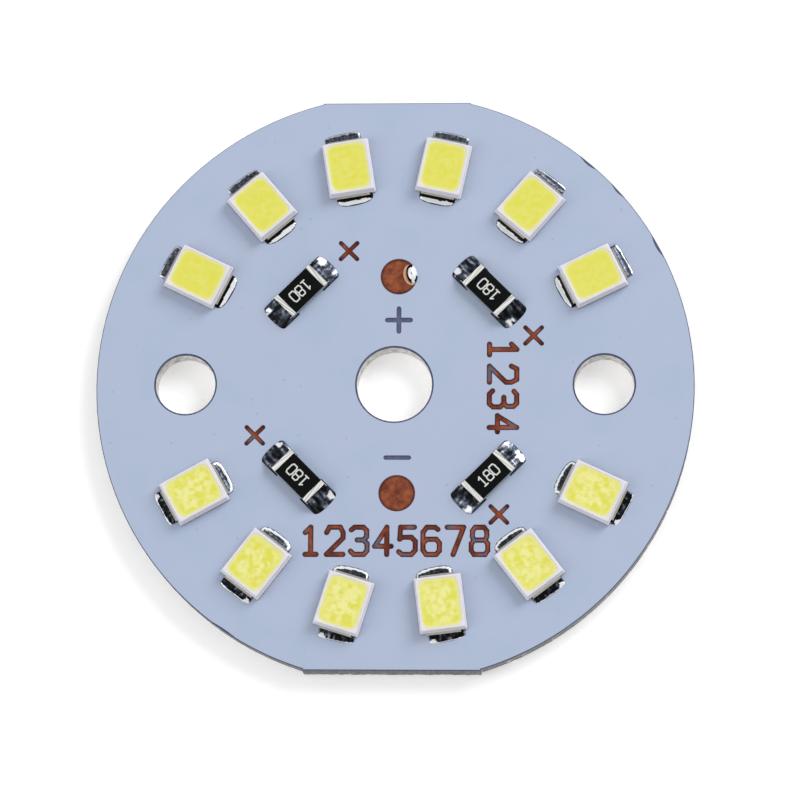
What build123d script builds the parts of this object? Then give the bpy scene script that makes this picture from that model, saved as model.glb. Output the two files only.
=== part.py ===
from build123d import *
import os
from math import atan2, cos, degrees, hypot, radians, sin, sqrt, tan

# Round aluminium-core LED board: twelve LEDs in a ring, four chip resistors, two wire pads.
# Millimetres. The origin is on the axis of the centre hole, in the back face, and +Z points
# out of the face that carries the LEDs. +Y points from the negative to the positive pad.
# Bearings are in degrees, clockwise from +Y.

# Board outline: a disc punched from sheet, left on two tabs and snapped off at V grooves.
board_radius = 17.5
top_flat_drop = 0.5
bottom_flat_drop = 0.7
top_tab_width = 8.7
bottom_tab_width = 10.3
score_depth = 0.45
score_reach = 0.15

# Holes
centre_hole_radius = 2.2
screw_hole_radius = 1.75
screw_pitch = 24.5

# Layers of the board, from the back
base_thickness = 1.4
dielectric_thickness = 0.08
copper_thickness = 0.035
mask_cover = 0.03
mask_setback = 0.05
mask_hole_setback = 0.1

# LED ring. Each LED stands a few degrees off its lands, as it set in the solder.
led_edge_distance = 4.25
led_step = 24.4
led_skews = (0, -4, -3, 4, 1, -5, -5, -1, 0, 3, 4, -3)

# LED package, with its lengths along the line between its two leads
housing_length = 3.25
housing_width = 2.75
housing_height = 0.75
parting_height = 0.3
parting_step = 0.03
housing_draft = 8
window_length = 2.8
window_width = 2.28
window_corner = 0.45
window_draft = 16
fill_drop = 0.03
lead_span = 3.5
lead_width = 2.0
lead_thickness = 0.18
lead_gap = 0.35
lead_gap_offset = 0.55
die_length = 0.9
die_width = 0.5
die_height = 0.15
die_offset = 0.35

# Chip resistors, along a ring of their own inside that of the LEDs
resistor_led_distance = 5.45
resistor_bearing = 45
ceramic_length = 3.12
ceramic_width = 1.55
ceramic_height = 0.45
cap_thickness = 0.04
cap_band = 0.42
coat_gap = 0.015
coat_width = 1.42
coat_thickness = 0.07

# Soldering lands, measured from the middle of the part that they carry
led_land_start = 0.85
led_land_end = 2.2
led_land_width = 2.1
resistor_land_start = 1.0
resistor_land_end = 2.4
resistor_land_width = 1.7

# Solder joints
joint_toe = 0.04
joint_film = 0.02
led_joint_lap = 0.1
led_joint_hollow = 0.04
resistor_joint_lap = 0.19
resistor_joint_hollow = 0.12

# Wire pads, and the bead of solder on the positive one
wire_pad_radius = 1.05
wire_pad_x = 0.2
wire_pad_drop = 1.35
bead_offset = 0.78
bead_bearing = 79
bead_length = 1.16
bead_width = 0.66
bead_height = 0.3
bead_brow = 0.16
bead_shoulder = 0.2

# Etched copper
track_gap = 0.25
track_margin = 0.1
edge_pullback = 0.3
rail_width = 0.6
stem_width = 1.5
pour_inner_radius = 3.0
sign_bearing = 30

# Distances from the middle of the board to its flats, the two rings and the wire pads
top_flat_y = board_radius - top_flat_drop
bottom_flat_y = board_radius - bottom_flat_drop
led_ring_radius = board_radius - led_edge_distance
resistor_ring_radius = led_ring_radius - resistor_led_distance
wire_pad_y = resistor_ring_radius - wire_pad_drop

# Heights above the back face
dielectric_z = base_thickness
copper_z = dielectric_z + dielectric_thickness
land_z = copper_z + copper_thickness
seat_z = land_z + mask_cover
cap_height = ceramic_height + 2 * cap_thickness

os.makedirs("parts", exist_ok=True)


def board_face(setback, hole_setback, reach=0.0):
    """Board in plan: the disc and its two tabs, cut straight at the flats, with three holes."""
    with BuildSketch(mode=Mode.PRIVATE) as face:
        Circle(board_radius - setback)
        for flat_y, tab_width, side in (
            (top_flat_y, top_tab_width, 1),
            (bottom_flat_y, bottom_tab_width, -1),
        ):
            edge_y = flat_y - setback + reach
            with Locations((0, side * (edge_y - board_radius / 4))):
                Rectangle(tab_width - 2 * setback, board_radius / 2)
            with Locations((0, side * (edge_y + board_radius / 2))):
                Rectangle(2 * board_radius, board_radius, mode=Mode.SUBTRACT)
        Circle(centre_hole_radius + hole_setback, mode=Mode.SUBTRACT)
        with GridLocations(screw_pitch, 0, 2, 1):
            Circle(screw_hole_radius + hole_setback, mode=Mode.SUBTRACT)
    return face.sketch


def ring_plane(radius, bearing, turn, height):
    """Level plane at a bearing on a ring, its X axis turned anticlockwise from outwards."""
    spot = radians(90 - bearing)
    heading = spot + radians(turn)
    return Plane(
        origin=(radius * cos(spot), radius * sin(spot), height),
        x_dir=(cos(heading), sin(heading), 0),
        z_dir=(0, 0, 1),
    )


def land_face(start, end, width, side):
    """One soldering land of a part, in plan about the part's middle."""
    with BuildSketch(mode=Mode.PRIVATE) as land:
        with Locations((side * (start + end) / 2, 0)):
            Rectangle(end - start, width)
    return land.sketch


def well_face():
    """Mouth of an LED's well: a rectangle, each corner rounded off in three flats."""
    with BuildSketch(mode=Mode.PRIVATE) as mouth:
        Rectangle(window_length, window_width)
        chamfer(mouth.vertices(), window_corner * (2 - sqrt(2)))
        chamfer(mouth.vertices(), window_corner * (tan(radians(22.5)) - tan(radians(11.25))))
    return mouth.sketch


def ring_sector(inner, outer, start, end):
    """Part of a flat ring about the centre, between two bearings."""
    with BuildSketch(mode=Mode.PRIVATE) as sector:
        with BuildLine():
            outside = CenterArc((0, 0), outer, 90 - end, end - start)
            inside = CenterArc((0, 0), inner, 90 - end, end - start)
            Line(outside @ 0, inside @ 0)
            Line(outside @ 1, inside @ 1)
        make_face()
    return sector.sketch


# Aluminium base. Each V groove leaves a bevel at the face that it was cut from, and the web
# between the two bevels stands out where it broke.
with BuildPart() as aluminium_base:
    with BuildSketch():
        add(board_face(0, 0, score_reach))
    extrude(amount=base_thickness)
    with BuildSketch(Plane.YZ):
        for flat_y, side in ((top_flat_y, 1), (bottom_flat_y, -1)):
            for face_z, way in ((0, 1), (base_thickness, -1)):
                mouth = (side * flat_y, face_z)
                root = (side * (flat_y + 2 * score_reach), face_z + 2 * way * score_depth)
                with BuildLine():
                    Polyline(mouth, root, (root[0], face_z), close=True)
                make_face()
    extrude(amount=bottom_tab_width, both=True, mode=Mode.SUBTRACT)
aluminium_base.part.label = "aluminium_base"

# Insulating resin, bonded to the base before the board is punched and drilled
with BuildPart() as dielectric:
    with BuildSketch(Plane.XY.offset(dielectric_z)):
        add(board_face(0, 0))
    extrude(amount=dielectric_thickness)
dielectric.part.label = "dielectric"

# Bearings of the three LEDs in a quarter of the board, and of all twelve
first, second, third = [led_step * (place + 0.5) for place in range(3)]
half_ring = [first, second, third, 180 - third, 180 - second, 180 - first]
led_bearings = half_ring + [180 + bearing for bearing in half_ring]
resistor_bearings = [resistor_bearing, 180 - resistor_bearing]
resistor_bearings = resistor_bearings + [180 + bearing for bearing in resistor_bearings]

# Radii and bearings of the copper, worked out from the lands that it carries
inner_start = led_ring_radius - led_land_end - track_margin
inner_end = led_ring_radius - led_land_start + track_margin
outer_start = led_ring_radius + led_land_start - track_margin
outer_end = led_ring_radius + led_land_end + track_margin
rail_start = outer_end + track_gap
rail_end = rail_start + rail_width
led_turn = degrees(atan2(led_land_width / 2 + track_margin, inner_start))
chip_inner = resistor_ring_radius - resistor_land_width / 2
chip_outer = resistor_ring_radius + resistor_land_width / 2
chip_start = chip_inner - track_margin
chip_end = hypot(chip_outer, resistor_land_end) + track_margin
chip_near_turn = degrees(atan2(resistor_land_start - track_margin, chip_outer))
chip_far_turn = degrees(atan2(resistor_land_end + track_margin, chip_inner))
chip_first = resistor_bearing - chip_near_turn
chip_second = resistor_bearing + chip_near_turn
chip_last = resistor_bearing + chip_far_turn
link_start = chip_end + track_gap
link_end = inner_start - track_gap
pad_copper_radius = wire_pad_radius + track_margin
pad_side_x = wire_pad_x + pad_copper_radius + track_gap
pad_turn = degrees(atan2(pad_side_x, wire_pad_y))
pour_bearing = chip_last + degrees(track_gap / chip_start)
pour_end = screw_pitch / 2 - screw_hole_radius - edge_pullback
sign_outer_radius = wire_pad_y - wire_pad_radius - track_gap
hole_turn = degrees(atan2(screw_hole_radius + edge_pullback, screw_pitch / 2))

# Copper at the positive supply: its wire pad, a stem that runs out between the two top LEDs,
# a branch to the first LED of each string, and a rail round the left half of the board.
with BuildPart() as copper_positive:
    with BuildSketch(Plane.XY.offset(copper_z)):
        with Locations((wire_pad_x, wire_pad_y)):
            Circle(pad_copper_radius)
        with Locations((0, (wire_pad_y + outer_end) / 2)):
            Rectangle(stem_width, outer_end - wire_pad_y)
        add(ring_sector(rail_start, rail_end, 180, 360))
        for middle in (0, 180):
            edge = first + led_turn
            add(ring_sector(outer_start, outer_end, middle - edge, middle + edge))
            add(ring_sector(outer_end - track_margin, rail_end, middle - edge, middle + edge))
        add(board_face(edge_pullback, edge_pullback), mode=Mode.INTERSECT)
    extrude(amount=copper_thickness)
copper_positive.part.label = "copper_positive"

# Copper at the negative supply: the wire pad, the lands at the ends of the lower strings, and
# a pour up both sides of the centre hole to the ends of the upper strings.
with BuildPart() as copper_negative:
    with BuildSketch(Plane.XY.offset(copper_z)):
        for inner, outer, start, end in (
            (sign_outer_radius, chip_end, 180 - chip_first, 180),
            (pour_inner_radius, chip_start - track_gap, pour_bearing, 180 - sign_bearing),
            (pour_inner_radius, pour_end, pour_bearing, 180 - pour_bearing),
            (pour_end - track_margin, inner_start + track_margin, third + led_turn, 90 - hole_turn),
            (inner_start, inner_end, third - led_turn, 90 - hole_turn),
        ):
            add(ring_sector(inner, outer, start, end))
        mirror(about=Plane.YZ)
        with Locations((wire_pad_x, -wire_pad_y)):
            Circle(pad_copper_radius)
        add(board_face(edge_pullback, edge_pullback), mode=Mode.INTERSECT)
    extrude(amount=copper_thickness)
copper_negative.part.label = "copper_negative"

# Twelve copper links, six on each side, that join LED to LED and LED to resistor
with BuildPart() as copper_links:
    with BuildSketch(Plane.XY.offset(copper_z)):
        for inner, outer, start, end in (
            (chip_end - track_margin, inner_end, first - led_turn, first + led_turn),
            (chip_start, chip_end, pad_turn, chip_first),
            (link_start, inner_end, second - led_turn, second + led_turn),
            (link_start, link_end, second, chip_last),
            (chip_start, link_start + track_margin, chip_second, chip_last),
            (outer_start, outer_end, second - led_turn, third + led_turn),
            (outer_start, outer_end, 180 - third - led_turn, 180 - second + led_turn),
            (inner_start, inner_end, 180 - third - led_turn, 180 - third + led_turn),
            (chip_start, inner_start + track_margin, 180 - chip_last, 180 - chip_second),
            (link_start, inner_end, 180 - second - led_turn, 180 - first + led_turn),
        ):
            add(ring_sector(inner, outer, start, end))
        mirror(about=Plane.YZ)
    extrude(amount=copper_thickness)
copper_links.part.label = "copper_links"

# Planes of the lands, of the LEDs and of the resistors. X points to an LED's cathode, which
# lies inwards on all but the middle LED of each three, so that neighbours join end to end.
cathode_turns = [0 if number % 3 == 1 else 180 for number in range(len(led_bearings))]
led_lands = [
    ring_plane(led_ring_radius, bearing, turn, land_z)
    for bearing, turn in zip(led_bearings, cathode_turns)
]
led_seats = [
    ring_plane(led_ring_radius, bearing, turn + skew, seat_z)
    for bearing, turn, skew in zip(led_bearings, cathode_turns, led_skews)
]
resistor_lands = [
    ring_plane(resistor_ring_radius, bearing, -90, land_z) for bearing in resistor_bearings
]

# Solder mask, printed over the copper and the resin, with an opening at each land and pad
with BuildPart() as solder_mask:
    with BuildSketch(Plane.XY.offset(copper_z)):
        add(board_face(mask_setback, mask_hole_setback))
    extrude(amount=copper_thickness + mask_cover)
    for copper in (copper_positive, copper_negative, copper_links):
        add(copper.part, mode=Mode.SUBTRACT)
    for side in (1, -1):
        with BuildSketch(*led_lands):
            add(land_face(led_land_start, led_land_end, led_land_width, side))
        with BuildSketch(*resistor_lands):
            add(land_face(resistor_land_start, resistor_land_end, resistor_land_width, side))
    with BuildSketch(Plane.XY.offset(land_z)):
        with Locations((wire_pad_x, wire_pad_y), (wire_pad_x, -wire_pad_y)):
            Circle(wire_pad_radius)
    extrude(amount=mask_cover, mode=Mode.SUBTRACT)
solder_mask.part.label = "solder_mask"

for piece in (aluminium_base, dielectric, copper_positive, copper_negative, copper_links, solder_mask):
    export_step(piece.part, f"parts/{piece.part.label}.step")


def solder_joint(land, side, start, end, width, shoulder, lap, hollow, stops):
    """One joint: a film on the land, a hollow fillet from its outer end up to the shoulder,
    and a lap from there over the terminal, all cut back where it meets the stops."""
    along = land.x_dir * side
    upright = Plane(origin=land.origin, x_dir=along, z_dir=along.cross(land.z_dir))
    with BuildPart() as joint:
        with BuildSketch(upright):
            with BuildLine():
                Polyline(
                    shoulder,
                    (shoulder[0] - lap, shoulder[1]),
                    (shoulder[0] - lap, mask_cover),
                    (start, mask_cover),
                    (start, 0),
                    (end, 0),
                    (end, joint_toe),
                )
                SagittaArc((end, joint_toe), shoulder, hollow)
            make_face()
        extrude(amount=width / 2, both=True)
        add(stops, mode=Mode.SUBTRACT)
    return joint.part


# LEDs: a leadframe in two halves, the housing moulded round it and open at the top, a die on
# the larger half, and the phosphor filling that covers the die.
led_joints = []
dies = []
for number, (land, seat) in enumerate(zip(led_lands, led_seats), start=1):
    with BuildPart() as leads:
        with BuildSketch(seat):
            Rectangle(lead_span, lead_width)
            with Locations((-lead_gap_offset, 0)):
                Rectangle(lead_gap, lead_width, mode=Mode.SUBTRACT)
        extrude(amount=lead_thickness)
    leads.part.label = f"led_{number:02d}_leads"

    with BuildPart() as well:
        with BuildSketch(seat.offset(housing_height)):
            add(well_face())
        extrude(amount=lead_thickness - housing_height, taper=window_draft)

    with BuildPart() as housing:
        with BuildSketch(seat):
            Rectangle(housing_length, housing_width)
        extrude(amount=parting_height)
        with BuildSketch(seat.offset(parting_height)):
            Rectangle(housing_length - 2 * parting_step, housing_width - 2 * parting_step)
        extrude(amount=housing_height - parting_height, taper=housing_draft)
        add(well.part, mode=Mode.SUBTRACT)
        add(leads.part, mode=Mode.SUBTRACT)
    housing.part.label = f"led_{number:02d}_housing"

    with BuildPart() as die:
        with BuildSketch(seat.offset(lead_thickness)):
            with Locations((die_offset, 0)):
                Rectangle(die_length, die_width)
        extrude(amount=die_height)
    dies.append(die.part)

    with BuildPart() as phosphor:
        add(well.part)
        split(bisect_by=seat.offset(housing_height - fill_drop), keep=Keep.BOTTOM)
        add(die.part, mode=Mode.SUBTRACT)
    phosphor.part.label = f"led_{number:02d}_phosphor"

    shoulder = (lead_span / 2 + joint_film, mask_cover + lead_thickness)
    for side in (1, -1):
        led_joints.append(
            solder_joint(
                land,
                side,
                led_land_start,
                led_land_end,
                led_land_width,
                shoulder,
                led_joint_lap,
                led_joint_hollow,
                [leads.part, housing.part],
            )
        )
    for piece in (leads, housing, phosphor):
        export_step(piece.part, f"parts/{piece.part.label}.step")

with BuildPart() as led_dies:
    add(dies)
led_dies.part.label = "led_dies"

with BuildPart() as led_solder_joints:
    add(led_joints)
led_solder_joints.part.label = "led_solder_joints"

# Chip resistors: a ceramic body with metal wrapped over its two ends, and a glassy coat over
# the resistive film between them. The solder laps over the outer edge of each cap.
resistor_joints = []
for number, land in enumerate(resistor_lands, start=1):
    with BuildPart() as body:
        with BuildSketch(land.offset(mask_cover + cap_thickness)):
            Rectangle(ceramic_length, ceramic_width)
        extrude(amount=ceramic_height)
    body.part.label = f"resistor_{number}_body"

    with BuildPart() as caps:
        with BuildSketch(land.offset(mask_cover)):
            with GridLocations(ceramic_length - cap_band + cap_thickness, 0, 2, 1):
                Rectangle(cap_band + cap_thickness, ceramic_width)
        extrude(amount=cap_height)
        add(body.part, mode=Mode.SUBTRACT)
    caps.part.label = f"resistor_{number}_caps"

    with BuildPart() as coat:
        with BuildSketch(land.offset(mask_cover + cap_thickness + ceramic_height)):
            Rectangle(ceramic_length - 2 * (cap_band + coat_gap), coat_width)
        extrude(amount=coat_thickness)
    coat.part.label = f"resistor_{number}_coat"

    cap_end = ceramic_length / 2 + cap_thickness
    shoulder = (cap_end + joint_film, mask_cover + cap_height + joint_film)
    for side in (1, -1):
        resistor_joints.append(
            solder_joint(
                land,
                side,
                resistor_land_start,
                resistor_land_end,
                resistor_land_width,
                shoulder,
                resistor_joint_lap,
                resistor_joint_hollow,
                [caps.part, body.part],
            )
        )
    for piece in (body, caps, coat):
        export_step(piece.part, f"parts/{piece.part.label}.step")

with BuildPart() as resistor_solder_joints:
    add(resistor_joints)
resistor_solder_joints.part.label = "resistor_solder_joints"

# Bead of solder, set as a long drop at the right edge of the positive wire pad, where it
# bulges over the edge of the mask
bead_angle = radians(90 - bead_bearing)
bead_seat = Plane(
    origin=(
        wire_pad_x + bead_offset * cos(bead_angle),
        wire_pad_y + bead_offset * sin(bead_angle),
        land_z,
    ),
    x_dir=(cos(bead_angle), sin(bead_angle), 0),
    z_dir=(0, 0, 1),
)
with BuildPart() as solder_bead:
    with BuildSketch(bead_seat):
        SlotOverall(bead_length, bead_width, rotation=90)
    extrude(amount=bead_height)
    chamfer(solder_bead.faces().sort_by(Axis.Z)[-1].edges(), bead_brow, bead_shoulder)
    add(solder_mask.part, mode=Mode.SUBTRACT)
solder_bead.part.label = "solder_bead"

for piece in (led_dies, led_solder_joints, resistor_solder_joints, solder_bead):
    export_step(piece.part, f"parts/{piece.part.label}.step")
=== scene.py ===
from math import asin, cos, pi, radians, sin, sqrt, tan

import bpy
from mathutils import Matrix, Vector, noise
from mathutils.geometry import delaunay_2d_cdt


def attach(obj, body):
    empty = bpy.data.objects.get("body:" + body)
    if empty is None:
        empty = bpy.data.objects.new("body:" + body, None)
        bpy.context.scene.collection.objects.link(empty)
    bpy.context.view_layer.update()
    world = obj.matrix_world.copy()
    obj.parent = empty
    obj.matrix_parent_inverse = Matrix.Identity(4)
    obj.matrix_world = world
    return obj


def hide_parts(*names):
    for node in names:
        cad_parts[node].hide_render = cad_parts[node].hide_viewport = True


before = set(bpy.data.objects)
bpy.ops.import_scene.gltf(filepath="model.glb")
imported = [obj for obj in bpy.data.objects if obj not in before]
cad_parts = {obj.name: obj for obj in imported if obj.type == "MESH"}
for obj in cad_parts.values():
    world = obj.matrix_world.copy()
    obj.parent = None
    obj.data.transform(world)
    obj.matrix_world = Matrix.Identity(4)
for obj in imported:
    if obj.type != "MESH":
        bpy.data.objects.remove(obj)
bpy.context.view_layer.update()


# The studio: a sheet of white paper on a table, a broad lamp high at the upper right and a
# weaker one across from it, and the camera, far off and almost straight above the board.
# Lengths here and below are in millimetres, and times mm they are in metres. Lamps are in metres.
mm = 0.001
front_z = 1.545
camera_distance = 230
elevation, swing, roll = radians(78.2), radians(15.7), radians(0.58)
room_grey = 0.53

towards_camera = Vector((cos(elevation) * sin(swing), -cos(elevation) * cos(swing), sin(elevation)))
level_right = (-towards_camera).cross(Vector((0, 1, 0))).normalized()
level_up = level_right.cross(-towards_camera)
camera_right = cos(roll) * level_right + sin(roll) * level_up
camera_up = cos(roll) * level_up - sin(roll) * level_right
camera_spot = Vector((0, 0, front_z * mm)) + camera_distance * mm * towards_camera
camera_turn = Matrix((camera_right, camera_up, towards_camera)).transposed().to_4x4()
camera = bpy.data.objects.new("camera", bpy.data.cameras.new("camera"))
camera.matrix_world = Matrix.Translation(camera_spot) @ camera_turn
camera.data.lens = 177.2
camera.data.shift_x = 0.0071
camera.data.shift_y = -0.0196
camera.data.clip_start = 0.01
bpy.context.scene.collection.objects.link(camera)
bpy.context.scene.camera = camera
bpy.context.scene.view_settings.view_transform = "Standard"

for name, spot, side, watts in (
    ("key lamp", (0.42, 0.4, 0.42), 0.4, 3.0),
    ("fill lamp", (-0.5, -0.2, 0.4), 0.5, 1.2),
):
    lamp = bpy.data.objects.new(name, bpy.data.lights.new(name, "AREA"))
    lamp.data.size = side
    lamp.data.energy = watts
    lamp.location = spot
    lamp.rotation_euler = Vector(spot).to_track_quat("Z", "Y").to_euler()
    bpy.context.scene.collection.objects.link(lamp)

world = bpy.data.worlds.new("studio")
world.use_nodes = True
room = world.node_tree.nodes["Background"]
room.inputs["Color"].default_value = (room_grey, room_grey, room_grey, 1)
bpy.context.scene.world = world


def linear(colour):
    """The linear colour, as a shader takes it, of an sRGB hex colour."""
    parts = [int(colour[at : at + 2], 16) / 255 for at in (1, 3, 5)]
    return (*(part / 12.92 if part <= 0.04045 else ((part + 0.055) / 1.055) ** 2.4 for part in parts), 1)


def add_node(material, kind, sockets=(), **settings):
    """Add a node with its settings, or set the material's own shader where no kind is named.
    A socket takes a value, an output that feeds it, or a node, which feeds it by its first output
    in use. A Mix of colours takes the share of the second in socket 0, and the two in 6 and 7."""
    nodes = material.node_tree.nodes
    node = nodes.new("ShaderNode" + kind) if kind else nodes["Principled BSDF"]
    for name, value in settings.items():
        setattr(node, name, value)
    for name, value in dict(sockets).items():
        if isinstance(value, bpy.types.Node):
            value = next(output for output in value.outputs if output.enabled)
        if isinstance(value, bpy.types.NodeSocket):
            material.node_tree.links.new(value, node.inputs[name])
        else:
            node.inputs[name].default_value = value
    return node


def new_material(name):
    """A material, and the place on the object, in metres, that its patterns go by."""
    material = bpy.data.materials.new(name)
    material.use_nodes = True
    return material, add_node(material, "TexCoord").outputs["Object"]


# Matt white paper: the faint tooth of its fibres, about half a millimetre. The camera and the
# mirrors see it a little brighter than it is lit, so that the board's shadow stays pale.
paper, place = new_material("white paper")
paper_glow = 0.3
fibre = add_node(paper, "TexNoise", {"Vector": place, "Scale": 1 / (0.5 * mm), "Detail": 3})
tone = add_node(paper, "Mix", {0: fibre, 6: linear("#FBFBFC"), 7: linear("#FEFEFE")}, data_type="RGBA")
ray = add_node(paper, "LightPath")
seen = add_node(
    paper, "Math", {0: ray.outputs["Is Camera Ray"], 1: ray.outputs["Is Glossy Ray"]}, operation="MAXIMUM"
)
seen_at_all = add_node(paper, "Math", {0: seen, 1: ray.outputs["Is Transmission Ray"]}, operation="MAXIMUM")
glow = add_node(paper, "Math", {0: seen_at_all, 1: paper_glow}, operation="MULTIPLY")
add_node(
    paper, None, {"Base Color": tone, "Roughness": 0.9, "Emission Color": tone, "Emission Strength": glow}
)
floor_mesh = bpy.data.meshes.new("floor")
floor_mesh.from_pydata([(-2, -2, 0), (2, -2, 0), (2, 2, 0), (-2, 2, 0)], [], [(0, 1, 2, 3)])
floor_mesh.materials.append(paper)
floor = bpy.data.objects.new("floor", floor_mesh)
floor.location.z = -0.02 * mm
bpy.context.scene.collection.objects.link(floor)


# The aluminium base: one disc of soft sheet, 1.4 mm thick, punched from a panel. The punch
# leaves a smooth burnished band below the front and a torn band below that. At the two flats
# it was snapped off at V grooves, which leaves a bevel at each face and a torn web between.
board_radius = 17.5
top_flat, top_half_tab = 17.0, 4.35
bottom_flat, bottom_half_tab = 16.8, 5.15
flat_steps, arc_steps = 80, 180
hole_places = ((0, 0, 2.2), (-12.25, 0, 1.75), (12.25, 0, 1.75))
hole_steps = 72
base_z = 1.4

# Levels of the rim from the back up: how far the disc is set back, how far the flats stand out,
# the height, and the grain and depth of the tearing. The holes' levels have the last three.
rim_levels = (
    (0.03, 0.0, 0.0, 0.3, 0.02),
    (0.0, 0.03, 0.06, 0.3, 0.03),
    (0.0, 0.08, 0.24, 0.25, 0.05),
    (0.0, 0.15, 0.45, 0.25, 0.08),
    (0.0, 0.15, 0.58, 0.2, 0.12),
    (0.0, 0.15, 0.7, 0.2, 0.12),
    (0.0, 0.15, 0.82, 0.2, 0.12),
    (0.0, 0.14, 0.95, 0.3, 0.05),
    (0.0, 0.07, 1.18, 0.6, 0.015),
    (0.0, 0.0, base_z, 0.6, 0.0),
)
hole_levels = ((0.0, 0.5, 0.02), (0.3, 0.3, 0.03), (0.6, 0.3, 0.03), (0.9, 0.5, 0.01), (base_z, 0.5, 0.0))
flat_margin = 0.05
arc_tearing = 0.5


def board_outline(setback, reach=0.0):
    """The disc with its two flats, anticlockwise in plan. The flats stand out by the reach."""
    radius = board_radius - setback
    top_turn = asin((top_half_tab - setback) / radius)
    bottom_turn = asin((bottom_half_tab - setback) / radius)
    points = []
    for side, half, flat, start, end in (
        (1, top_half_tab, top_flat, top_turn, pi - bottom_turn),
        (-1, bottom_half_tab, bottom_flat, pi + bottom_turn, 2 * pi - top_turn),
    ):
        y = side * (flat - setback + reach)
        for step in range(flat_steps + 1):
            points.append((side * (half - setback) * (2 * step / flat_steps - 1), y))
        for step in range(arc_steps + 1):
            turn = start + (end - start) * step / arc_steps
            points.append((radius * sin(turn), radius * cos(turn)))
    return points[::-1]


def circle(x, y, radius):
    """A circle in plan, anticlockwise."""
    turns = [2 * pi * step / hole_steps for step in range(hole_steps)]
    return [(x + radius * cos(turn), y + radius * sin(turn)) for turn in turns]


def torn(x, y, z, grain, depth):
    """How far the metal is torn back at a point, from none to the depth."""
    return depth * (0.5 + 0.5 * noise.noise(Vector((x / grain, y / grain, z / grain))))


def loft(rings, closed=False):
    """Points and quads of a skin over rings of equal length, anticlockwise from the bottom up."""
    count = len(rings[0])
    points = [point for ring in rings for point in ring]
    faces = []
    for below in range(0, len(points) - count, count):
        above = below + count
        for i in range(count):
            j = (i + 1) % count
            faces.append((below + i, below + j, above + j, above + i))
    if closed:
        faces.append(tuple(reversed(range(count))))
        faces.append(tuple(range(len(points) - count, len(points))))
    return points, faces


def cut_sheet(outlines):
    """Triangles of overlapping outlines in plan, each with the set of outlines it lies in."""
    points, loops = [], []
    for outline in outlines:
        loops.append(list(range(len(points), len(points) + len(outline))))
        points += [Vector(point) for point in outline]
    spots, _, triangles, _, _, inside = delaunay_2d_cdt(points, [], loops, 1, 1e-6)
    owned = [(tuple(triangle), set(owners)) for triangle, owners in zip(triangles, inside)]
    return [tuple(spot) for spot in spots], owned


def join(parts):
    """One list of points and one of faces from several."""
    points, faces = [], []
    for more_points, more_faces in parts:
        faces += [tuple(i + len(points) for i in face) for face in more_faces]
        points += more_points
    return points, faces


def make_piece(name, points, faces, material, slot, nodes=(), crease=35, marks=None):
    """A mesh piece from points in the board's own frame, that rides on the board. It stays smooth
    up to the crease, in degrees. Marks are values at its points that its material reads."""
    mesh = bpy.data.meshes.new(name)
    mesh.from_pydata([(x * mm, y * mm, z * mm) for x, y, z in points], [], faces)
    mesh.polygons.foreach_set("use_smooth", [True] * len(mesh.polygons))
    mesh.set_sharp_from_angle(angle=radians(crease))
    mesh.materials.append(material)
    for mark, values in (marks or {}).items():
        layer = mesh.attributes.new(mark, "FLOAT", "POINT")
        layer.data.foreach_set("value", values)
    piece = bpy.data.objects.new(name, mesh)
    bpy.context.scene.collection.objects.link(piece)
    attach(piece, "root")
    if nodes:
        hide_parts(*nodes)
    return piece


rim = []
for setback, reach, z, grain, depth in rim_levels:
    ring = []
    for x, y in board_outline(setback, reach):
        on_flat = abs(y) > bottom_flat - flat_margin and abs(x) < bottom_half_tab + flat_margin
        tearing = torn(x, y, z, grain, depth if on_flat else depth * arc_tearing)
        back = tearing / sqrt(x * x + y * y)
        ring.append((x * (1 - back), y * (1 - back), z))
    rim.append(ring)

hole_walls = []
for x, y, radius in hole_places:
    wall = []
    for z, grain, depth in hole_levels:
        ring = []
        for edge_x, edge_y in circle(x, y, radius):
            out = 1 + torn(edge_x, edge_y, z, grain, depth) / radius
            ring.append((x + (edge_x - x) * out, y + (edge_y - y) * out, z))
        wall.append(ring[::-1])
    hole_walls.append(wall)

base_faces = []
for end, z, way in ((0, 0.0, -1), (-1, base_z, 1)):
    edges = [[point[:2] for point in rim[end]]]
    edges += [[point[:2] for point in wall[end]][::-1] for wall in hole_walls]
    spots, triangles = cut_sheet(edges)
    level = [triangle[::way] for triangle, inside in triangles if inside == {0}]
    base_faces.append(([(x, y, z) for x, y in spots], level))

base_parts = [loft(rim)] + [loft(wall) for wall in hole_walls] + base_faces
bore_marks = []
for number, (points, _) in enumerate(base_parts):
    bore_marks += [1.0 if 1 <= number <= len(hole_walls) else 0.0] * len(points)

# Aluminium, rolled and punched: dull grey with a fine rolling grain on the flat faces, a broken
# grey with bright flecks where an edge tore, and darker streaks down the burnished band. The
# hole walls are drawn paler, as the paper under them lights them. The torn grain is about 0.1 mm,
# and is drawn at 0.3 mm, so that it shows. It is longer down the edge, the way the punch went.
aluminium, place = new_material("aluminium, punched")
burnish_from, burnish_full = 0.86, 1.02
rolling = add_node(
    aluminium, "Mapping", {"Vector": place, "Scale": (1 / (0.05 * mm), 1 / (2.5 * mm), 1 / (0.05 * mm))}
)
rolled = add_node(aluminium, "TexNoise", {"Vector": rolling, "Scale": 1.0, "Detail": 4})
sheet_tone = add_node(
    aluminium, "Mix", {0: rolled, 6: linear("#A9ABAF"), 7: linear("#CDCED1")}, data_type="RGBA"
)
pulled = add_node(aluminium, "Mapping", {"Vector": place, "Scale": (1, 1, 0.4)})
flecks = add_node(
    aluminium, "TexNoise", {"Vector": pulled, "Scale": 1 / (0.3 * mm), "Detail": 3, "Roughness": 0.55}
)
spread = add_node(aluminium, "MapRange", {"Value": flecks, "From Min": 0.34, "From Max": 0.68})
torn_tone = add_node(
    aluminium, "Mix", {0: spread, 6: linear("#505354"), 7: linear("#93958F")}, data_type="RGBA"
)
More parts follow.
